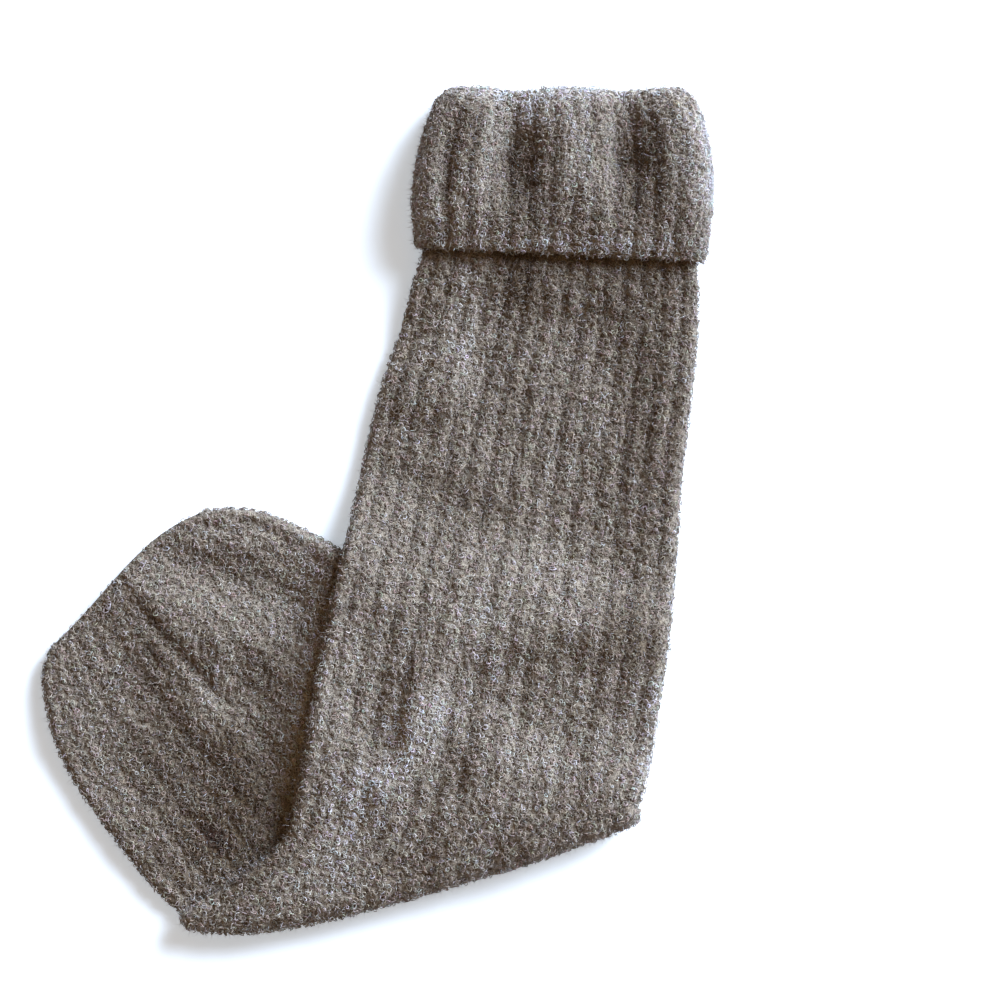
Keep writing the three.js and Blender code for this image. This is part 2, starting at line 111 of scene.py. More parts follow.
INSIDE_RIDGE_SHARE = 0.7  # how far the inside of the wall follows a ridge
CUFF_LIFT, CUFF_LIFT_TO, CUFF_LIFT_FROM = 3.2, 78, 112  # the lift, and between which y it grows
LEG_Z = HALF_THICK + CUFF_LIFT

# %% [markdown]
# ## Creases, gathers and tones
#
# A crease is a soft ridge (height above zero) or trough along a line. Across it the height falls
# off as a bell curve of the given half width, and it dies out towards both ends. The solids have
# the same creases and gathers.
#
# The tone tables make the yarn lighter or darker along lines. They are partly the heathered yarn's
# own unevenness and partly painted light and shade: painted shade in the cuff's gathers and beside
# the leg's left edge, and painted light on some slopes, on the cuff's top rim and in the leg's
# shadow on the turned end. Their form is the creases' one: along a line the yarn is lighter by so
# much, where 1 is the whole way from the dark yarn to the light one.

# %% Tables of creases, gathers and tones
CREASE_FADE = (-0.15, 0.25)
LEG_CREASES = np.array([
    # from x, from y, to x, to y, height, half width
    (2, -70, 150, -44, 3.2, 12),
    (57, -158, 112, -112, 5, 20),
    (20, -75, 113, -62, -2.2, 20),
    (22, -75, 18, -122, 2, 7),
    (38, -40, 9, -101, 3.4, 12),
    (-20, -24, -33, -140, 5, 17),
    (-34, -88, 10, -135, 2.4, 13),
    (8, 59, 40, 55, 3.4, 16),
    (59, 100, 44, 52, -2.2, 13),
    (-34, -4, 17, -52, 2.9, 14),
    (100, 92, 110, 22, -1, 12),
    (56, -91, 42, -119, 2.6, 7),
    (88, 96, 84, 30, -1.8, 9),
    (69, -4, 119, -17, -2, 20),
    (0, -19, 35, -17, -2, 20),
    (70, -104, 26, -160, 4, 15),
    (82, -94, 93, -124, -1.1, 8),
    (10, 90, 17, 52, -2, 12),
    (38, 41, 116, 10, -1.5, 13),
    (50, -103, 142, -97, -2.2, 19),
    (93, 63, 125, 60, -1.4, 20),
    (28, -68, 2, -136, 2.4, 8),
])
TURNED_CREASES = np.array([
    (-116, -34, -66, -90, -1.8, 3.4),
    (-106, -20, -28, -42, -2.2, 9.5),
    (-118, -34, -30, -70, 4.4, 16),
    (-97, -50, -78, -95, 2.8, 14),
    (-150, -88, -84, -114, 2.2, 20),
    (-90, -14, -48, -15, 1.4, 5),
    (-140, -78, -90, -128, -2, 15),
    (-106, -80, -70, -122, -1.8, 14),
    (-138, -104, -86, -140, -1.8, 20),
    (-71, -51, -70, -79, 1.2, 5),
    (-80, -88, -52, -140, 2.4, 12),
])
GATHERS = np.array([
    # x at the cuff's top, x at its foot, depth, half width to the left, to the right, and the
    # share of the way down where it ends
    (33, 27, 3.4, 4, 6, 1.6),
    (60, 56, 10, 8, 15, 1.05),
    (94, 92, 2.4, 3.5, 4.5, 0.6),
    (109, 111, 10, 8.5, 14, 1.05),
    (137, 140, 2, 4, 4, 0.8),
])
LEG_YARN_AND_PAINTED_LIGHT = np.array([
    # from x, from y, to x, to y, how much lighter (yarn tone and painted light and shade), half
    # width
    (36, -76, -12, -142, 0.24, 9),
    (104, -40, 122, -70, -0.22, 13),
    (20, 14, 66, -8, -0.12, 12),
    (42, 118, 36, 60, 0.18, 9),
    (64, 120, 63, 90, -0.26, 9),
    (118, 100, 124, 0, -0.14, 14),
    (50, -112, 110, -100, 0.09, 13),
    (-7, -115, -26, -172, 0.17, 12),
    (60, -150, 104, -132, -0.08, 10),
    (30, -20, 50, -60, 0.08, 12),
    (-14, -42, -26, -110, 0.07, 10),
    (55, -20, 100, -28, 0.05, 12),
    (14, -78, 8, -112, 0.13, 9),
    (50, -60, 60, -90, 0.05, 12),
    (124, -75, 119, -128, 0.2, 6),
    (-40, -151, -72, -169, -0.26, 6),
    (-2, -158, 18, -168, -0.14, 8),
    (11, -84, 9, -101, 0.18, 5),
])
# the turned end: painted shade near the leg's edge, painted light in the leg's shadow, and yarn
# tone
TURNED_YARN_AND_PAINTED_LIGHT = np.array([
    (-108, -100, -62, -165, -0.2, 16),
    (-72, -95, -52, -140, -0.34, 9),
    (-24, -50, -42, -140, 0.36, 7),
    (-100, -60, -85, -95, -0.14, 10),
    (-120, -140, -90, -170, -0.14, 9),
    (-95, -20, -50, -10, 0.06, 9),
    (-30, -16, -40, -50, 0.16, 9),
    (-46, -60, -52, -85, -0.12, 10),
    (-84, -140, -50, -160, -0.2, 11),
])
# the cuff: painted shade in its gathers, painted light on its top rim, and yarn tone
CUFF_YARN_AND_PAINTED_LIGHT = np.array([
    (-20, 150, 180, 150, 0.06, 60),
    (22, 120, 144, 116, 0.2, 7),
    (36, 188, 134, 188, 0.34, 5),
    (44, 182, 44, 156, -0.24, 7),
    (62, 165, 66, 124, -0.26, 14),
    (112, 168, 118, 126, -0.22, 14),
    (86, 186, 90, 140, 0.14, 7),
    (145, 184, 147, 132, 0.3, 8),
    (20, 165, 20, 122, 0.12, 7),
    (30, 184, 26, 140, -0.16, 6),
    (124, 180, 128, 140, -0.18, 7),
    (70, 188, 66, 172, 0.3, 8),
    (53, 186, 46, 138, 0.16, 5),
])
CUFF_TOP_Y, CUFF_ROLL_Y, CUFF_FOOT_Y = 190, 177.5, 115
GATHER_HOLD = 0.4  # a gather keeps its full depth over this share of its reach
CUFF_TOP_WAVE = 0.14  # how far the top edge dips at a gather, for each mm of its depth

# %% [markdown]
# ## Curves and noise
#
# Everything below works on whole arrays at once. `rows_at` reads a table between its rows on a
# smooth cubic. `wander` is smooth noise from -1 to 1: a seeded lattice of random numbers, blended
# with the same smooth step in both directions.

# %% Curve and noise helpers
rng = np.random.default_rng(20)
LATTICE = rng.uniform(-1, 1, (97, 89))
NOISE_SHIFT = 13.7, 7.3  # lattice steps from one noise to the next


def smoothstep(low, high, value):
    """0 below low, 1 above high, and 3t^2 - 2t^3 between them."""
    share = np.clip((value - low) / (high - low), 0, 1)
    return share * share * (3 - 2 * share)


def rows_at(table, place):
    """A table's rows at fractional row numbers, on a Catmull-Rom cubic through its rows."""
    last = len(table) - 1
    start = np.clip(np.floor(place).astype(int), 0, last - 1)
    share = (place - start)[:, None]
    before, row = table[np.maximum(start - 1, 0)], table[start]
    after, beyond = table[start + 1], table[np.minimum(start + 2, last)]
    slope_from, slope_to, rise = (after - before) / 2, (beyond - row) / 2, after - row
    return (
        row
        + share * slope_from
        + share**2 * (3 * rise - 2 * slope_from - slope_to)
        + share**3 * (slope_from + slope_to - 2 * rise)
    )


def wander(x, y, shift=0):
    """Smooth noise from -1 to 1 with features one unit wide. Each shift is another noise."""
    x, y = np.broadcast_arrays(x + NOISE_SHIFT[0] * shift, y + NOISE_SHIFT[1] * shift)
    column, line = np.floor(x).astype(int), np.floor(y).astype(int)
    across, down = smoothstep(0, 1, x - column), smoothstep(0, 1, y - line)
    wide, high = LATTICE.shape

    def corner(right, below):
        return LATTICE[(column + right) % wide, (line + below) % high]

    top = corner(0, 0) * (1 - across) + corner(1, 0) * across
    foot = corner(0, 1) * (1 - across) + corner(1, 1) * across
    return top * (1 - down) + foot * down


def creases_at(creases, x, y):
    """Sum of the creases: height times a bell curve across, faded at both ends."""
    total = np.zeros(np.broadcast(x, y).shape)
    for from_x, from_y, to_x, to_y, height, width in creases:
        run_x, run_y = to_x - from_x, to_y - from_y
        length = np.hypot(run_x, run_y)
        along = ((x - from_x) * run_x + (y - from_y) * run_y) / length**2
        off = ((x - from_x) * run_y - (y - from_y) * run_x) / length
        ends = smoothstep(*CREASE_FADE, along) * smoothstep(*CREASE_FADE, 1 - along)
        total += height * ends * np.exp(-((off / width) ** 2))
    return total


def outline_at(turn, half_width, edge_wide):
    """A flattened tube's outline: two flats joined by quarter rounds edge_wide across.

    turn is 0 at the left edge, runs over the top to 0.5 at the right edge, and back below.
    Returns the distance across, the lift from -1 to 1, and how far the wall faces outwards.
    """
    side = np.where(turn < 0.5, 1.0, -1.0)
    share = np.where(turn < 0.5, turn * 2, 2 - turn * 2)
    arc = np.pi / 2 * edge_wide
    flat = half_width - edge_wide
    length = share * 2 * (flat + arc)
    left, right = length < arc, length > 2 * flat + arc
    angle = np.where(left, length, 2 * (flat + arc) - length) / edge_wide
    angle = np.clip(angle, 0, np.pi / 2)
    outward = np.where(left, -np.cos(angle), np.where(right, np.cos(angle), 0))
    across = np.where(
        left, edge_wide * outward - flat,
        np.where(right, flat + edge_wide * outward, length - arc - flat),
    )
    lift = side * np.where(left | right, np.sin(angle), 1)
    return across, lift, outward


# %% [markdown]
# ## The tube
#
# `tube(place, turn, depth)` is the leg's surface as a function of two parameters. `place` runs
# down the leg (0 to 15), round the half turn of the fold (15 to 16) and along the turned end to
# the hem. `turn` runs round the flattened tube. `depth` moves the surface into the wall.
# Ribs are rounded arches |sin|^0.7, broken into nubs by noise along them. They stand up where
# the knit is seen. Where it rests, furrows 1 - |sin|^0.6 are pressed in between them instead.

# %% Ribs
RIB_ROUND, RIB_MEAN = 0.7, 0.85  # the power of |sin|, and an arch's height without its nubs
RIB_SWAY, SWAY_RUN = 0.16, 14  # how far a rib wanders sideways, in ribs, and over how many mm
NUB_HEIGHT, NUB_STEP, NUB_RUN = 0.5, 3.1, 3.6  # the nubs, their lattice steps a rib, and mm long
GRAIN_HEIGHT, GRAIN_STEP, GRAIN_RUN = 0.22, 3.5, 2.4  # a finer unevenness, in the same way
PRESSED_DEPTH, PRESSED_ROUND = 0.5, 0.6
RIBS_FROM = 1.5, 3  # the ribs grow between these places, inside the cuff
TURNED_RIBS_LOWER, LOWER_BY = 0.4, 2  # the turned end's ribs sink by this share in 2 places
SEEN_BELOW, SEEN_OVER = 0.15, 0.35  # ribs begin a little below the tube's edge, and grow upwards
FOLD_RIBS_FADE, FOLD_RIBS_BACK = (0.1, 0.55), 1.5  # places past the fold's start, and its end
RIBS_SIDEWAYS = 0.6  # how far they stand out at the sides, as a share of their height


def ribs_at(turn, run, shift):
    """Rib height from 0 to about 1.2: rounded arches, with nubs a few mm long stacked on them."""
    phase = turn * 2 * RIBS_PER_PANEL
    sway = RIB_SWAY * wander(phase / 2, run / SWAY_RUN, shift + 2)
    phase = phase + sway * np.sin(np.pi * turn * 2) ** 2
    arch = np.abs(np.sin(np.pi * phase)) ** RIB_ROUND
    nubs = NUB_HEIGHT * wander(np.floor(phase) * NUB_STEP, run / NUB_RUN, shift)
    grain = GRAIN_HEIGHT * wander(phase * GRAIN_STEP, run / GRAIN_RUN, shift + 1)
    return arch * (RIB_MEAN + nubs) + grain


def pressed_at(turn, relief):
    """Furrows where the knit rests: 0 on a rib, and -PRESSED_DEPTH between two."""
    arch = np.abs(np.sin(np.pi * turn * 2 * RIBS_PER_PANEL)) ** PRESSED_ROUND
    return -PRESSED_DEPTH * relief * (1 - arch)


def seen_at(lift):
    """1 where the wall faces up, falling to 0 a little below its edge."""
    return smoothstep(0, SEEN_OVER, lift + SEEN_BELOW)


def tube_ribs(place, turn, run, lift, relief):
    """How far the ribs raise the tube's surface, or press it in where the knit rests."""
    seen = seen_at(np.where(place >= TURNED_AT, -lift, lift))
    rib = RIB_HEIGHT * relief * ribs_at(turn, run, 0) * smoothstep(*RIBS_FROM, place)
    rib = rib * (1 - TURNED_RIBS_LOWER * smoothstep(TURNED_AT, TURNED_AT + LOWER_BY, place))
    fading = smoothstep(*FOLD_RIBS_FADE, place - FOLD_AT)
    back = smoothstep(TURNED_AT, TURNED_AT + FOLD_RIBS_BACK, place)
    rib = rib * (1 - fading * (1 - back))
    off_fold = (place <= FOLD_AT) | (place >= TURNED_AT)
    return seen * rib + (1 - seen) * np.where(off_fold, pressed_at(turn, relief), 0)


# %% The tube's surface
def midline_length(rows):
    """Distance run by the middle of the sections, from the first row."""
    middle_x = (rows[:, LEFT_X] + rows[:, RIGHT_X]) / 2
    middle_y = (rows[:, LEFT_Y] + rows[:, RIGHT_Y]) / 2
    steps = np.hypot(np.diff(middle_x), np.diff(middle_y))
    return np.concatenate([[0], np.cumsum(steps)])


LEG_PLACES, TURNED_PLACES = np.linspace(0, FOLD_AT, 400), np.linspace(TURNED_AT, HEM_AT, 250)
LEG_ROWS = rows_at(LEG_SECTIONS, LEG_PLACES)
TURNED_ROWS = rows_at(TURNED_SECTIONS, TURNED_PLACES - TURNED_AT)
LEG_RUN, TURNED_RUN = midline_length(LEG_ROWS), midline_length(TURNED_ROWS)
FOLD_RUN = np.pi * (HALF_THICK + LAYER_GAP / 2)
PLACES = np.concatenate([LEG_PLACES, TURNED_PLACES])
RUNS = np.concatenate([LEG_RUN, LEG_RUN[-1] + FOLD_RUN + TURNED_RUN])
TUBE_LENGTH = RUNS[-1]
print("the tube is", round(TUBE_LENGTH), "mm long along its middle")


def half_thick_at(x, y):
    """Half the flattened tube's thickness, less near the pinched corner of the fold."""
    away = np.hypot(x - PINCH_X, y - PINCH_Y) / PINCH_REACH
    return HALF_THICK - PINCH_DEPTH * np.exp(-(away**2))


def over_turned_end(x, y):
    """1 where the leg lies over the turned end, falling to 0 where it lies on the table."""
    run = STEP_TO - STEP_FROM
    clear = ((y - STEP_FROM[1]) * run[0] - (x - STEP_FROM[0]) * run[1]) / np.hypot(*run)
    return 1 - smoothstep(STEP_BEFORE, STEP_AFTER, clear)


def turned_height(x, y):
    """Creases of the turned end, pressed flat next to the leg, and its swelling beside it."""
    run = PRESS_TO - PRESS_FROM
    away = ((x - PRESS_FROM[0]) * run[1] - (y - PRESS_FROM[1]) * run[0]) / np.hypot(*run)
    along = ((x - PRESS_FROM[0]) * run[0] + (y - PRESS_FROM[1]) * run[1]) / (run @ run)
    ends = smoothstep(*LIP_STARTS, along) * (1 - smoothstep(*LIP_STOPS, along))
    width = np.where(away < 0, LIP_UNDER, LIP_OUT)
    lip = LIP_HEIGHT * ends * np.exp(-((away / width) ** 2))
    return creases_at(TURNED_CREASES, x, y) * smoothstep(PRESS_NEAR, PRESS_FREE, away) + lip


def tube_creases(place, x, y, lift, over, inside):
    """The creases' height. The leg's lower panel follows a share of each ridge above it."""
    on_leg, on_turned = place <= FOLD_AT, place >= TURNED_AT
    crease = np.abs(lift) * np.where(
        on_turned, turned_height(x, y), creases_at(LEG_CREASES, x, y))
    followed = np.maximum(crease, 0) * over * LOWER_PANEL_SHARE * on_leg
    if inside:
        crease = np.where(crease > 0, crease * INSIDE_RIDGE_SHARE, crease)
    return np.where(np.where(on_turned, lift < 0, lift > 0), crease, followed)


def tube(place, turn, depth=0.0, relief=1.0):
    """Points of the tube in mm, one for each place (down) and turn (across)."""
    leg_rows = rows_at(LEG_SECTIONS, np.clip(place, 0, FOLD_AT))
    turned_rows = rows_at(TURNED_SECTIONS, np.clip(place - TURNED_AT, 0, HEM_AT - TURNED_AT))
    rows = np.where((place < TURNED_AT)[:, None], leg_rows, turned_rows)
    left_x, left_y, right_x, right_y, bow, skew = rows.T[:, :, None]
    place = place[:, None]
    turn = np.broadcast_to(turn, (len(place), np.shape(turn)[-1]))
    wide_x, wide_y = right_x - left_x, right_y - left_y
    half_width = np.hypot(wide_x, wide_y) / 2
    across, lift, outward = outline_at(turn, half_width - depth, HALF_THICK - depth)
    share = 0.5 + across / (2 * half_width)
    bow = bow * np.sin(np.pi * np.clip(share, 0, 1) ** skew)
    x = left_x + wide_x * share + bow * FOLD_OUT[0]
    y = left_y + wide_y * share + bow * FOLD_OUT[1]
    half, over = half_thick_at(x, y), over_turned_end(x, y)
    raised = tube_ribs(place, turn, np.interp(place, PLACES, RUNS), lift, relief)
    crease = tube_creases(place, x, y, lift, over, depth > 0)

    swell = lift * (half - depth + raised)
    sideways = raised * outward * RIBS_SIDEWAYS / (2 * half_width)
    x, y = x + sideways * wide_x, y + sideways * wide_y
    bend = np.pi * np.clip(place - FOLD_AT, 0, 1)
    carried = crease * (1 - smoothstep(0, FOLD_CREASE_FADE, bend)) * (lift > 0)
    radius = half + LAYER_GAP / 2
    round_fold = radius + swell + carried
    reach = round_fold * np.sin(bend)
    cuffed = CUFF_LIFT * smoothstep(CUFF_LIFT_TO, CUFF_LIFT_FROM, y)
    z_leg = half + cuffed + (2 * half + LAYER_GAP) * over + swell + crease
    z_fold = half + radius + round_fold * np.cos(bend)
    z_turned = half - swell + crease
    z = np.where(place >= TURNED_AT, z_turned, np.where(place <= FOLD_AT, z_leg, z_fold))
    return np.stack([x + FOLD_OUT[0] * reach, y + FOLD_OUT[1] * reach, z], axis=-1)


# %% [markdown]
# ## The cuff
#
# The cuff's outer surface is a function of the row of its table, which runs up from the lower
# edge and over the roll at the top, and of `turn`. Its sections are given in the same way, with
# the heights of its upper and lower sides above the table and the share of the gathers that it
# takes. Gathers are troughs that run down from the top.

# %% The cuff's surface
CUFF_OUTER = np.array([
    # left x, left y, right x, right y, top, bottom, gather
    (18.6, 117.6, 145.2, 111.4, 14.4, 1.2, 0.1),
    (17.6, 120, 146.6, 113.6, 17, 0, 0.15),
    (16.8, 129.5, 148.2, 126, 21, 0, 0.35),
    (16.6, 141.5, 149.4, 140, 23.4, 0, 0.8),
    (18.2, 155, 148.9, 155, 24, 0, 1),
    (21.4, 168.5, 146.8, 169, 23.4, 0, 0.95),
    (25.2, 179.2, 143.4, 179.6, 21.4, 0, 0.83),
    (29.2, 186, 139, 186, 17.6, 1, 0.6),
    (34.8, 189.4, 134.2, 189, 12.2, 3.2, 0.2),
    (38.2, 186.6, 132.2, 186.4, 8.8, 4.9, 0),
])
CUFF_INNER = np.array([
    (35.3, 178.5, 134.7, 177.6, 8.5, 5.5, 0),
    (33, 178.5, 137, 177.6, 10.8, 3.2, 0),
    (31, 181.6, 138.2, 181.6, 14.2, 2.7, 0.3),
    (26, 174.5, 142.4, 175, 19, 2.6, 0.7),
    (21.6, 161, 145.4, 161, 21, 2.6, 0.88),
    (20, 141.5, 146.2, 140, 20.6, 2.6, 0.75),
    (20.2, 128.5, 144.8, 124.5, 17.6, 2.6, 0.3),
    (20.2, 119.6, 143.6, 113.4, 13, 2.6, 0),
])
CUFF_EDGE, CUFF_INNER_EDGE = 7, 4.4  # how far in from its side the cuff rounds over
CUFF_NOISE = 5  # the cuff's ribs use other noises than the leg's


def gathers_at(x, y):
    """Depth of the gathers: bell curves, steeper on the left, across lines that run down."""
    down = np.clip((CUFF_TOP_Y - y) / (CUFF_TOP_Y - CUFF_FOOT_Y), 0, 1)
    total = np.zeros(np.broadcast(x, y).shape)
    for top_x, foot_x, depth, left_width, right_width, reach in GATHERS:
        off = x - (top_x + (foot_x - top_x) * down)
        width = np.where(off < 0, left_width, right_width)
        fading = 1 - smoothstep(reach * GATHER_HOLD, reach, down)
        total += depth * fading * np.exp(-((off / width) ** 2))
    return total


def cuff(rows, turn, edge, relief=1.0):
    """Points of the cuff in mm, one for each row (down) and turn (across)."""
    run = midline_length(rows)[:, None]
    left_x, left_y, right_x, right_y, top, bottom, gather = rows.T[:, :, None]
    turn = np.broadcast_to(turn, (len(rows), np.shape(turn)[-1]))
    wide_x, wide_y = right_x - left_x, right_y - left_y
    half_width = np.hypot(wide_x, wide_y) / 2
    across, lift, outward = outline_at(turn, half_width, np.minimum(edge, top - bottom))
    share = 0.5 + across / (2 * half_width)
    x, level = left_x + wide_x * share, left_y + wide_y * share
    gathers = gathers_at(x, level)
    y = level - CUFF_TOP_WAVE * gathers * smoothstep(CUFF_ROLL_Y, CUFF_TOP_Y, level)
    seen = seen_at(lift)
    rib = RIB_HEIGHT * relief * ribs_at(turn, run, CUFF_NOISE)
    raised = seen * rib + (1 - seen) * pressed_at(turn, relief) * (bottom <= 0)
    reach = np.where(lift > 0, top - LEG_Z, LEG_Z - bottom)
    z = LEG_Z + lift * (reach + raised) - gather * gathers * np.maximum(lift, 0)
    return np.stack([x + raised * outward * RIBS_SIDEWAYS, y, z], axis=-1)


# %% [markdown]
# ## Meshes from grids
#
# A shell is one closed grid that wraps both ways: outside rings in order, then inside rings
# back again. Four-cornered faces go straight into Blender's arrays.

# %% Mesh helpers
def add_mesh(name, points, corners, colours):
    """A mesh object from points in mm, faces of 3 or 4 corners, and a colour for each point."""
    mesh = bpy.data.meshes.new(name)
    points = np.asarray(points, dtype=np.float32).reshape(-1, 3) * MM
    corners = np.asarray(corners, dtype=np.int32)
    mesh.vertices.add(len(points))
    mesh.vertices.foreach_set("co", points.ravel())
    mesh.loops.add(corners.size)
    mesh.loops.foreach_set("vertex_index", corners.ravel())
    mesh.polygons.add(len(corners))
    starts = np.arange(len(corners), dtype=np.int32) * corners.shape[1]
    mesh.polygons.foreach_set("loop_start", starts)
    mesh.polygons.foreach_set("use_smooth", np.ones(len(corners), dtype=bool))
    mesh.update(calc_edges=True)
    tint = mesh.attributes.new("tint", "FLOAT_COLOR", "POINT")
    tint.data.foreach_set("color", np.asarray(colours, dtype=np.float32).ravel())
    obj = bpy.data.objects.new(name, mesh)
    bpy.context.scene.collection.objects.link(obj)
    return obj


def wrapped_faces(rings, around):
    """Quads of a grid of rings that wraps round each ring and from the last ring to the first."""
    ring, point = np.meshgrid(np.arange(rings), np.arange(around), indexing="ij")
    next_ring, next_point = (ring + 1) % rings, (point + 1) % around
    quads = [ring * around + point, next_ring * around + point,
             next_ring * around + next_point, ring * around + next_point]
    return np.stack(quads, axis=-1).reshape(-1, 4)


def outward_faces(points, faces):
    """The faces, turned over if they enclose a negative volume."""
    a, b, c, d = (points[faces[:, k]] for k in range(4))
    volume = (np.cross(b, c) * a).sum() + (np.cross(c, d) * a).sum()
    return faces if volume > 0 else faces[:, ::-1]


# %% [markdown]
# ## Tones
#
# A shell's colour is multiplied at each point by 1 + tone times the three numbers of
# `GROUND_TONE`, so that it is lighter or darker where the curls on it are, and a little bluer
# where it is lighter. The tones are the yarn's own unevenness and painted light and shade, so
# the shell takes the same painted light and shade as its curls.

# %% Tones and shells
GROUND_TONE = np.array([1.7, 2.0, 2.4, 0])  # for red, green, blue and alpha
GROUND_RANGE = 0.2, 2


def leg_yarn_and_painted_light(points, place):
    """How much lighter the yarn is, tone and painted light and shade, at points of the tube, each
    with its place down it.
    """
    x, y = points[..., 0], points[..., 1]
    turned, leg = creases_at(TURNED_YARN_AND_PAINTED_LIGHT, x, y), creases_at(LEG_YARN_AND_PAINTED_LIGHT, x, y)
    return np.where(place > FOLD_AT + 0.5, turned, leg)


def cuff_yarn_and_painted_light(points, _):
    """The same for the cuff, where the place makes no difference."""
    return creases_at(CUFF_YARN_AND_PAINTED_LIGHT, points[..., 0], points[..., 1])


def add_shell(name, outer, inner, places, yarn_and_painted_light):
    """A closed wall: the outer rings in order, then the inner ones back to the first."""
    rings = np.concatenate([outer, inner[::-1]])
    points = rings.reshape(-1, 3)
    faces = outward_faces(points, wrapped_faces(*rings.shape[:2]))
    # the tint takes the tone tables' yarn tone and painted light and shade, bluer where lighter
    tints = 1 + GROUND_TONE * yarn_and_painted_light(rings, places[:, None]).reshape(-1, 1)
    obj = add_mesh(name, points, faces, np.clip(tints, *GROUND_RANGE))
    print(name, len(faces) * 2, "triangles, box", points.min(0).round(1), points.max(0).round(1))
    return obj


# %% [markdown]
# ## The two shells
#
# Each outside is sampled finely, a ring every 2 mm or so, and each inside coarsely, without ribs.

# %% Build the shells
POINTS_PER_RIB = 6
ACROSS = RIBS_PER_PANEL * 2 * POINTS_PER_RIB
TURNS = np.arange(ACROSS) / ACROSS
LEG_STEP, CUFF_STEP, INNER_STEP = 2.1, 1.7, 9.0  # mm from ring to ring

leg_places = np.interp(np.arange(0, TUBE_LENGTH, LEG_STEP), RUNS, PLACES)
leg_places = np.append(leg_places, HEM_AT)
inner_places = np.append(np.interp(np.arange(0, TUBE_LENGTH, INNER_STEP), RUNS, PLACES), HEM_AT)
leg_outer = tube(leg_places, TURNS)
leg_shell = add_shell("leg_knit", leg_outer, tube(inner_places, TURNS, CLOTH, 0.0),
                      np.concatenate([leg_places, inner_places[::-1]]), leg_yarn_and_painted_light)

cuff_run = midline_length(CUFF_OUTER)
cuff_steps = np.append(np.arange(0, cuff_run[-1], CUFF_STEP), cuff_run[-1])
cuff_places = np.interp(cuff_steps, cuff_run, np.arange(len(CUFF_OUTER)))
cuff_outer = cuff(rows_at(CUFF_OUTER, cuff_places), TURNS, CUFF_EDGE)
cuff_inner = cuff(CUFF_INNER[::-1], TURNS, CUFF_INNER_EDGE, 0.0)
cuff_shell = add_shell("cuff_knit", cuff_outer, cuff_inner,
                       np.zeros(len(cuff_outer) + len(cuff_inner)), cuff_yarn_and_painted_light)

# %% [markdown]
# ## Yarn curls
#
# Boucle yarn throws up small loops all over the knit. Each curl is a closed ring of a thin
# three-sided tube: a circle of radius r, wobbled by a second wave, tipped at random from the
# surface. Centres are spread evenly over the surface by area: the cumulative area of its grid
# cells is cut into equal steps, and each step's cell gives one centre. A curl's colour runs from
# dark yarn (level 0) through the middle one to the light one (level 1).

# %% Scatter and curl functions
CURL_STEPS, CURL_SIDES = 5, 3
CURL_WOBBLE, CURL_RISE = 0.2, 0.35  # shares of the radius
CURL_OVAL = 0.6  # the narrowest curls are so wide for their length
LEVEL_SPREAD, HUE_SPREAD = 0.10, 0.06
DARKEST = 0.01
FULL_TURN = 2 * np.pi


def linear(code):
    """A #rrggbb colour in Blender's linear light: c / 12.92 near black, else a power of 2.4."""
    c = np.array([int(code[k:k + 2], 16) for k in (1, 3, 5)]) / 255
    return np.where(c <= 0.04045, c / 12.92, ((c + 0.055) / 1.055) ** 2.4)


LIGHT_YARN, MID_YARN, DARK_YARN = linear("#cecbd0"), linear("#968677"), linear("#493422")


def scatter(grid, sign, count, weight):
    """count places on the grid, evenly by area times weight: points, normals and cell numbers."""
    right = np.roll(grid, -1, axis=1)
    corners = np.stack([grid[:-1], right[:-1], right[1:], grid[1:]])
    normal = sign * np.cross(corners[2] - corners[0], corners[3] - corners[1])
    area = np.linalg.norm(normal, axis=-1)
    normal = (normal / np.maximum(area, 1e-9)[..., None]).reshape(-1, 3)
    corners = corners.reshape(4, -1, 3)
    share = np.cumsum(area.ravel() * weight(corners.mean(0), normal))
    wanted = (np.arange(count) + rng.uniform(0, 1, count)) / count * share[-1]
    cell = np.minimum(np.searchsorted(share, wanted), share.size - 1)
    corners = corners[:, cell]
    u, v = rng.uniform(0, 1, (2, count, 1))
    points = (
        corners[0] * (1 - u) * (1 - v) + corners[1] * u * (1 - v)
        + corners[2] * u * v + corners[3] * (1 - u) * v
    )
    return points, normal[cell], cell


def frames_from(normal, tip):
    """Three unit axes for each normal, with the third tipped away from it by up to tip radians."""
    count = len(normal)
    first = np.cross(normal, rng.normal(size=(count, 3)))
    first /= np.linalg.norm(first, axis=1, keepdims=True)
    lean = rng.uniform(0, tip, (count, 1))
    third = normal * np.cos(lean) + first * np.sin(lean)
    second = np.cross(third, first)
    second /= np.linalg.norm(second, axis=1, keepdims=True)
    return np.cross(second, third), second, third


def heather(lightness):
    """A colour for each curl, from dark through mid to light yarn, with a slight drift in hue."""
    count = len(lightness)
    level = np.clip(lightness + rng.normal(0, LEVEL_SPREAD, count), 0, 1)[:, None]
    tone = DARK_YARN + (MID_YARN - DARK_YARN) * np.clip(level * 2, 0, 1)
    tone = tone + (LIGHT_YARN - MID_YARN) * np.clip(level * 2 - 1, 0, 1)
    tone = tone * (1 + rng.normal(0, HUE_SPREAD, (count, 3)))
    return np.concatenate([np.clip(tone, DARKEST, 1), np.ones((count, 1))], axis=1)


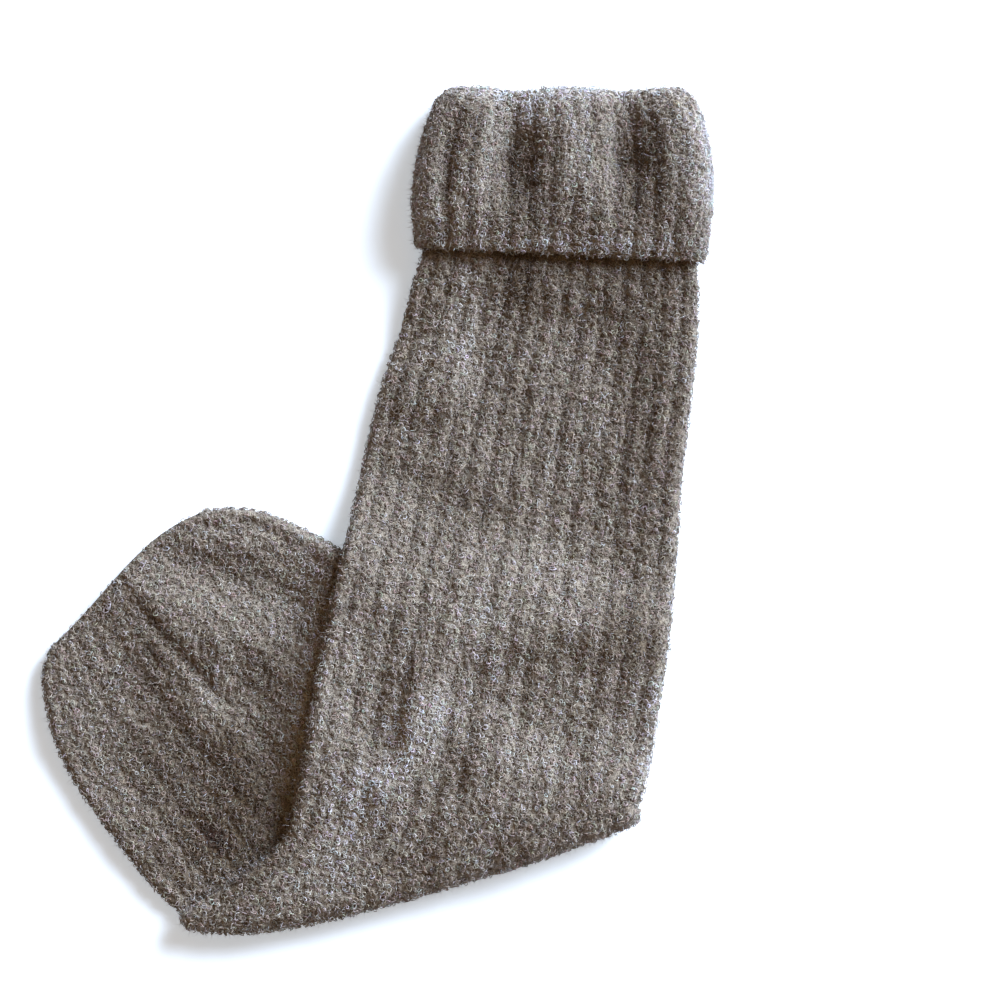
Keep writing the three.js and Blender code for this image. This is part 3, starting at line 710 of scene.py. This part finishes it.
def curl_points(points, normal, radius, thickness, tip):
    """Rings of a tube: centre + r(t)(cos t, sin t) in each curl's frame, and a circle across."""
    count = len(points)

    def any_phase():
        return rng.uniform(0, 7, (count, 1))

    first, second, third = frames_from(normal, tip)
    t = np.arange(CURL_STEPS) / CURL_STEPS * FULL_TURN + any_phase()
    wobble = radius[:, None] * (1 + CURL_WOBBLE * np.sin(2 * t + any_phase()))
    along = wobble * np.cos(t)
    aside = wobble * np.sin(t) * rng.uniform(CURL_OVAL, 1, (count, 1))
    rise = CURL_RISE * radius[:, None] * np.sin(t + any_phase())
    offset = along[..., None] * first[:, None] + aside[..., None] * second[:, None]
    outward = offset / np.linalg.norm(offset, axis=-1, keepdims=True)
    centre = points[:, None] + offset + rise[..., None] * third[:, None]
    angle = np.arange(CURL_SIDES) / CURL_SIDES * FULL_TURN
    ring = (
        np.cos(angle)[:, None] * outward[:, :, None]
        + np.sin(angle)[:, None] * third[:, None, None]
    )
    return centre[:, :, None] + thickness[:, None, None, None] * ring


def add_curls(name, points, colours):
    """One mesh of closed curls from points of shape (curls, steps, sides, 3)."""
    one = wrapped_faces(CURL_STEPS, CURL_SIDES)
    if (np.cross(points[0, 1, 0] - points[0, 0, 0], points[0, 0, 1] - points[0, 0, 0])
            @ (points[0, 0, 0] - points[0, 0].mean(0))) > 0:
        one = one[:, ::-1]
    size = CURL_STEPS * CURL_SIDES
    faces = (one + np.arange(len(points))[:, None, None] * size).reshape(-1, 4)
    obj = add_mesh(name, points, faces, np.repeat(colours, size, axis=0))
    print(name, len(points), "curls,", len(faces) * 2, "triangles")
    return obj


# %% [markdown]
# ## Spread the curls
#
# Curls lie thickly wherever the knit faces up or sideways, and thinly underneath, where it is
# pressed on the table. None go where another layer hides them. Those near a rib's crest are
# painted lighter and those in its furrows darker, painted light and shade. Towards the fold they
# are painted a little lighter, for the light that is stronger there. Two noises, `patch` and
# `fleck`, vary the yarn further, and the tone tables add yarn tone and painted light and shade.

# %% Make the curls
UNDERNEATH = 0.05  # the share of curls where the knit faces down
FACES_DOWN = -0.75, -0.2  # the normal's z where it does, and where it no longer does
COVERED_Y = 121  # the cuff hides the leg beyond this
OFF_TABLE = 3
UNDER_EDGE = 9  # the turned end keeps its curls so far under the leg's edge
LEG_CURLS, LEG_PIECES, CUFF_CURLS, CUFF_PIECES = 19400, 4, 5100, 1
CURL_RADIUS, YARN_RADIUS = (0.6, 1.45), (0.18, 0.27)
CURL_STANDS, CURL_TIP = (0.15, 0.8), 0.9  # how far off the knit, and tipped by how many radians
LOWEST_CENTRE, LOWEST_POINT = 0.4, 0.02  # above the table
YARN_LEVEL = 0.40
# curls on rib crests are painted lighter and in furrows darker: painted light and shade
FURROW_PAINTED_SHADE, CREST_MEAN = 0.18, 0.6
PATCH_LEVEL, PATCH_SIZE, PATCH_NOISE = 0.06, 17, 3
FLECK_LEVEL, FLECK_SIZE, FLECK_NOISE = 0.05, 5, 4
FOLD_PAINTED_LIGHT, FOLD_REACH = 0.04, 150  # painted light: the curls are a little lighter towards the fold


def facing_up(normal):
    """1 where the surface faces up or sideways, falling to UNDERNEATH where it faces down."""
    return UNDERNEATH + (1 - UNDERNEATH) * smoothstep(*FACES_DOWN, normal[:, 2])


def leg_weight(centre, normal):
    """More where the surface faces up or sideways, and none inside the cuff or below the leg."""
    x, y, z = centre.T
    place = np.repeat(leg_places[:-1], ACROSS)
    edge_x = np.interp(-y, -LEG_ROWS[:, LEFT_Y], LEG_ROWS[:, LEFT_X])
    below_leg = (place > TURNED_AT) & (z > OFF_TABLE) & (x > edge_x + UNDER_EDGE)
    under_leg = (normal[:, 2] < FACES_DOWN[1]) & (z > OFF_TABLE)
    return facing_up(normal) * ~(y > COVERED_Y) * ~below_leg * ~under_leg


def cuff_weight(_, normal):
    """More where the surface faces up or sideways."""
    return facing_up(normal)


def make_curls(grid, sign, count, weight, yarn_and_painted_light, places, pieces, name):
    """Curls over a grid, shared out between several pieces."""
    points, normal, cell = scatter(grid, sign, count, weight)
    phase = (cell % ACROSS) / ACROSS * 2 * RIBS_PER_PANEL
    crest = np.abs(np.sin(np.pi * phase))
    x, y = points[:, 0], points[:, 1]
    patch = wander(x / PATCH_SIZE, y / PATCH_SIZE, PATCH_NOISE)
    fleck = wander(x / FLECK_SIZE, y / FLECK_SIZE, FLECK_NOISE)
    # painted light and shade on crests, in furrows and towards the fold; yarn patches, flecks and
    # tones
    lightness = YARN_LEVEL + FURROW_PAINTED_SHADE * (crest - CREST_MEAN) - FOLD_PAINTED_LIGHT * y / FOLD_REACH
    lightness = lightness + PATCH_LEVEL * patch + FLECK_LEVEL * fleck
    lightness = lightness + yarn_and_painted_light(points, places[cell // ACROSS])
    radius = rng.uniform(*CURL_RADIUS, count)
    thickness = rng.uniform(*YARN_RADIUS, count)
    points = points + normal * rng.uniform(*CURL_STANDS, (count, 1))
    points[:, 2] = np.maximum(points[:, 2], LOWEST_CENTRE)
    curls = curl_points(points, normal, radius, thickness, CURL_TIP)
    curls[..., 2] = np.maximum(curls[..., 2], LOWEST_POINT)
    colours = heather(lightness)
    order = rng.permutation(count)
    return [
        add_curls(f"{name}_{k + 1}", curls[part], colours[part])
        for k, part in enumerate(np.array_split(order, pieces))
    ]


leg_curls = make_curls(
    leg_outer, -1, LEG_CURLS, leg_weight, leg_yarn_and_painted_light, leg_places, LEG_PIECES, "leg_curls")
cuff_curls = make_curls(
    cuff_outer, 1, CUFF_CURLS, cuff_weight, cuff_yarn_and_painted_light, cuff_places, CUFF_PIECES, "cuff_curls")

# %% [markdown]
# ## Loose fibres
#
# Fine hairs stand off the knit and soften its outline. Each is a closed three-sided spike: a
# small triangle at its root, a thinner one half way, bent aside, and a point.

# %% Make the fibres
LEG_FIBRES, CUFF_FIBRES = 7200, 2400
FIBRE_LENGTH, FIBRE_LEAN, FIBRE_BEND = (2.0, 4.6), 1.25, 0.35
ROOT_RADIUS, MIDDLE_RADIUS = 0.1, 0.075
MIDDLE_UP, MIDDLE_ASIDE = 0.55, 0.5  # shares of the length, and of the bend
END_UP, END_ASIDE = 0.85, 1.4
FIBRE_SIDES = 3
FIBRE_TIP = 2 * FIBRE_SIDES  # the number of its last point
FIBRE_LEVEL = 0.75  # lighter than most curls
SIDE_SHARE = 3
FACES_SIDEWAYS = 0.1, 0.6  # the normal's z where the surface does, and where it no longer does


def add_fibres(name, grid, sign, count, weight):
    """One mesh of loose fibres spread over a grid."""
    def at_the_sides(centre, normal):
        """The weight, tripled where the surface faces sideways, so that the outline is soft."""
        flat = smoothstep(*FACES_SIDEWAYS, np.abs(normal[:, 2]))
        return weight(centre, normal) * (SIDE_SHARE - (SIDE_SHARE - 1) * flat)

    root, normal, _ = scatter(grid, sign, count, at_the_sides)
    first, second, third = frames_from(normal, FIBRE_LEAN)
    length = rng.uniform(*FIBRE_LENGTH, (count, 1))
    bend = rng.normal(0, FIBRE_BEND, (count, 1)) * length
    middle = root + third * length * MIDDLE_UP + first * bend * MIDDLE_ASIDE
    end = root + third * length * END_UP + first * bend * END_ASIDE
    angle = np.arange(FIBRE_SIDES) / FIBRE_SIDES * FULL_TURN
    circle = np.cos(angle)[:, None, None] * first + np.sin(angle)[:, None, None] * second
    rings = [root + ROOT_RADIUS * circle, middle + MIDDLE_RADIUS * circle]
    vertices = np.concatenate([*rings, end[None]]).transpose(1, 0, 2)
    vertices[..., 2] = np.maximum(vertices[..., 2], LOWEST_POINT)
    one = [(0, 2, 1)]  # the root, then for each side two triangles and one that ends in the point
    for k in range(FIBRE_SIDES):
        after = (k + 1) % FIBRE_SIDES
        up, up_after = k + FIBRE_SIDES, after + FIBRE_SIDES
        one += [(k, after, up_after), (k, up_after, up), (up, up_after, FIBRE_TIP)]
    size = FIBRE_TIP + 1
    faces = (np.array(one) + np.arange(count)[:, None, None] * size).reshape(-1, 3)
    colours = heather(np.full(count, FIBRE_LEVEL))
    obj = add_mesh(name, vertices, faces, np.repeat(colours, size, axis=0))
    print(name, count, "fibres,", len(faces), "triangles")
    return obj


leg_fibres = add_fibres("leg_fibres", leg_outer, -1, LEG_FIBRES, leg_weight)
cuff_fibres = add_fibres("cuff_fibres", cuff_outer, 1, CUFF_FIBRES, cuff_weight)

# %% [markdown]
# ## Materials
#
# Two procedural materials. The knit below the curls is dark heathered wool with a bumpy surface
# whose patterns are sized from the object's own coordinates, multiplied by the shell's tones,
# which hold painted light and shade besides the yarn's own tone. The yarn of the curls and fibres
# takes its colour from each one's own tint; the curls' tints hold painted light and shade too.
# Wool is matt, so both are rough, with a little sheen.

# %% Material functions
BROAD_NOISE, FINE_NOISE, MOTTLE_NOISE = 250, 750, 1400  # to the metre: 4, 1.3 and 0.7 mm wide
BROAD_SHARE = 0.3
GROUND_DARK, GROUND_LIGHT = "#392a1c", "#a39380"


def node(tree, kind, settings=None, inputs=None):
    """Adds a node, sets its settings by name, and sets or links its inputs by name or number."""
    made = tree.nodes.new(kind)
    for name, value in (settings or {}).items():
        setattr(made, name, value)
    for name, value in (inputs or {}).items():
        if isinstance(value, bpy.types.NodeSocket):
            tree.links.new(value, made.inputs[name])
        else:
            made.inputs[name].default_value = value
    return made


def wool(name, sheen):
    """A new material with a rough Principled shader, and its tree and shader."""
    material = bpy.data.materials.new(name)
    material.use_nodes = True
    tree = material.node_tree
    shader = tree.nodes["Principled BSDF"]
    shader.inputs["Roughness"].default_value = 0.9
    shader.inputs["IOR"].default_value = 1.45
    shader.inputs["Specular IOR Level"].default_value = 0.25
    shader.inputs["Sheen Weight"].default_value = sheen
    shader.inputs["Sheen Roughness"].default_value = 0.6
    return material, tree, shader


def knit_material():
    """Dark heathered ground: a broad and a fine noise mix its colours and raise its bump."""
    material, tree, shader = wool("boucle_ground", 0.15)
    place = node(tree, "ShaderNodeTexCoord").outputs["Object"]
    broad = node(tree, "ShaderNodeTexNoise", inputs={
        "Vector": place, "Scale": BROAD_NOISE, "Detail": 2})
    fine = node(tree, "ShaderNodeTexNoise", inputs={
        "Vector": place, "Scale": FINE_NOISE, "Detail": 3, "Distortion": 2.5})
    mixed = node(tree, "ShaderNodeMath", {"operation": "MULTIPLY_ADD"},
                 {0: broad.outputs["Fac"], 1: BROAD_SHARE, 2: fine.outputs["Fac"]})
    ramp = node(tree, "ShaderNodeValToRGB", inputs={"Fac": mixed.outputs[0]})
    stops = ramp.color_ramp.elements
    stops[0].position, stops[0].color = 0.5, (*linear(GROUND_DARK), 1)
    stops[1].position, stops[1].color = 0.84, (*linear(GROUND_LIGHT), 1)
    tint = node(tree, "ShaderNodeAttribute", {"attribute_name": "tint"})
    tone = node(tree, "ShaderNodeVectorMath", {"operation": "MULTIPLY"},
                {0: ramp.outputs["Color"], 1: tint.outputs["Color"]})
    tree.links.new(tone.outputs[0], shader.inputs["Base Color"])
    bump = node(tree, "ShaderNodeBump",
                inputs={"Strength": 1.0, "Distance": 0.0008, "Height": mixed.outputs[0]})
    tree.links.new(bump.outputs["Normal"], shader.inputs["Normal"])
    return material


def yarn_material():
    """Each curl's own tint, mottled by a noise finer than a curl."""
    material, tree, shader = wool("boucle_yarn", 0.2)
    tint = node(tree, "ShaderNodeAttribute", {"attribute_name": "tint"})
    place = node(tree, "ShaderNodeTexCoord").outputs["Object"]
    mottle = node(tree, "ShaderNodeTexNoise", inputs={
        "Vector": place, "Scale": MOTTLE_NOISE, "Detail": 2})
    level = node(tree, "ShaderNodeMapRange", inputs={
        "Value": mottle.outputs["Fac"], "From Min": 0.3, "From Max": 0.7,
        "To Min": 0.75, "To Max": 1.2})
    tone = node(tree, "ShaderNodeVectorMath", {"operation": "SCALE"},
                {0: tint.outputs["Color"], "Scale": level.outputs[0]})
    tree.links.new(tone.outputs[0], shader.inputs["Base Color"])
    return material


knit, yarn = knit_material(), yarn_material()
for piece in (leg_shell, cuff_shell):
    piece.data.materials.append(knit)
for piece in (*leg_curls, *cuff_curls, leg_fibres, cuff_fibres):
    piece.data.materials.append(yarn)
print("materials", knit.name, yarn.name)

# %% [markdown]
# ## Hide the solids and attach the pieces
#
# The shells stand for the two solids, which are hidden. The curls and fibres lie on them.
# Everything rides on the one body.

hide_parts("leg")
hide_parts("cuff")
for piece in (leg_shell, *leg_curls, leg_fibres):
    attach(piece, "root")
for piece in (cuff_shell, *cuff_curls, cuff_fibres):
    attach(piece, "root")

# %% [markdown]
# ## Table, light and camera
#
# A plain pale table, which glows faintly so that its shadows stay light. One large, soft, cool
# light stands low at the upper right, and a weak, warm, even sky fills the shade. The camera looks
# straight down, as the photograph does.

# %% Stage
PLAN_CENTRE = (0.0549, 0.0045)
PLAN_WIDTH = 0.450  # the picture's width on the table
CAMERA_HEIGHT = 2.6
SENSOR = 36
KEY_PLACE, KEY_SIZE = (2.26, 1.82, 1.42), 3.0
KEY_AIM = (0.0, -0.16, 0.0)  # the light is strongest on the lower leg
KEY_SPREAD = np.radians(50)
KEY_POWER, KEY_COLOUR = 117, (0.65, 0.795, 1.0)
SKY_COLOUR, SKY_STRENGTH = (1.0, 0.68, 0.38, 1), 0.28
TABLE_REACH, TABLE_Z = 3.0, -0.0003
GLOW_COLOUR, GLOW_STRENGTH = (0.72, 0.86, 1.0, 1), 0.45


def add_stage():
    """A square pale table under the garment."""
    reach, z = TABLE_REACH, TABLE_Z
    corners = [(-reach, -reach, z), (reach, -reach, z), (reach, reach, z), (-reach, reach, z)]
    mesh = bpy.data.meshes.new("table")
    mesh.from_pydata(corners, [], [(0, 1, 2, 3)])
    table = bpy.data.objects.new("table", mesh)
    bpy.context.scene.collection.objects.link(table)
    material = bpy.data.materials.new("pale_table")
    material.use_nodes = True
    shader = material.node_tree.nodes["Principled BSDF"]
    shader.inputs["Base Color"].default_value = (*linear("#f4f4f4"), 1)
    shader.inputs["Roughness"].default_value = 0.9
    shader.inputs["Emission Color"].default_value = GLOW_COLOUR
    shader.inputs["Emission Strength"].default_value = GLOW_STRENGTH
    mesh.materials.append(material)


def add_key_light():
    """A square area light, turned so that its -Z axis points at KEY_AIM, a little narrowed."""
    light = bpy.data.lights.new("key", "AREA")
    light.spread = KEY_SPREAD
    light.size, light.energy, light.color = KEY_SIZE, KEY_POWER, KEY_COLOUR
    obj = bpy.data.objects.new("key", light)
    obj.location = KEY_PLACE
    along_x, along_y, along_z = np.subtract(KEY_AIM, KEY_PLACE)
    tip = np.pi - np.arctan2(np.hypot(along_x, along_y), along_z)
    obj.rotation_euler = (tip, 0, np.arctan2(along_y, along_x) - np.pi / 2)
    bpy.context.scene.collection.objects.link(obj)


def add_sky():
    """An even background light of one colour."""
    world = bpy.data.worlds.new("sky")
    world.use_nodes = True
    background = world.node_tree.nodes["Background"]
    background.inputs["Color"].default_value = SKY_COLOUR
    background.inputs["Strength"].default_value = SKY_STRENGTH
    bpy.context.scene.world = world


def add_camera():
    """Straight above the middle of the picture, with the lens that frames PLAN_WIDTH."""
    data = bpy.data.cameras.new("camera")
    data.sensor_width = SENSOR
    data.lens = SENSOR * CAMERA_HEIGHT / PLAN_WIDTH
    obj = bpy.data.objects.new("camera", data)
    obj.location = (*PLAN_CENTRE, CAMERA_HEIGHT)
    bpy.context.scene.collection.objects.link(obj)
    bpy.context.scene.camera = obj


add_stage()
add_key_light()
add_sky()
bpy.context.scene.view_settings.view_transform = "Standard"
add_camera()
print("camera", round(bpy.context.scene.camera.data.lens), "mm lens,", CAMERA_HEIGHT, "m up")

# %% Finish
def corners(box):
    return [[float(value) for value in corner] for corner in box]
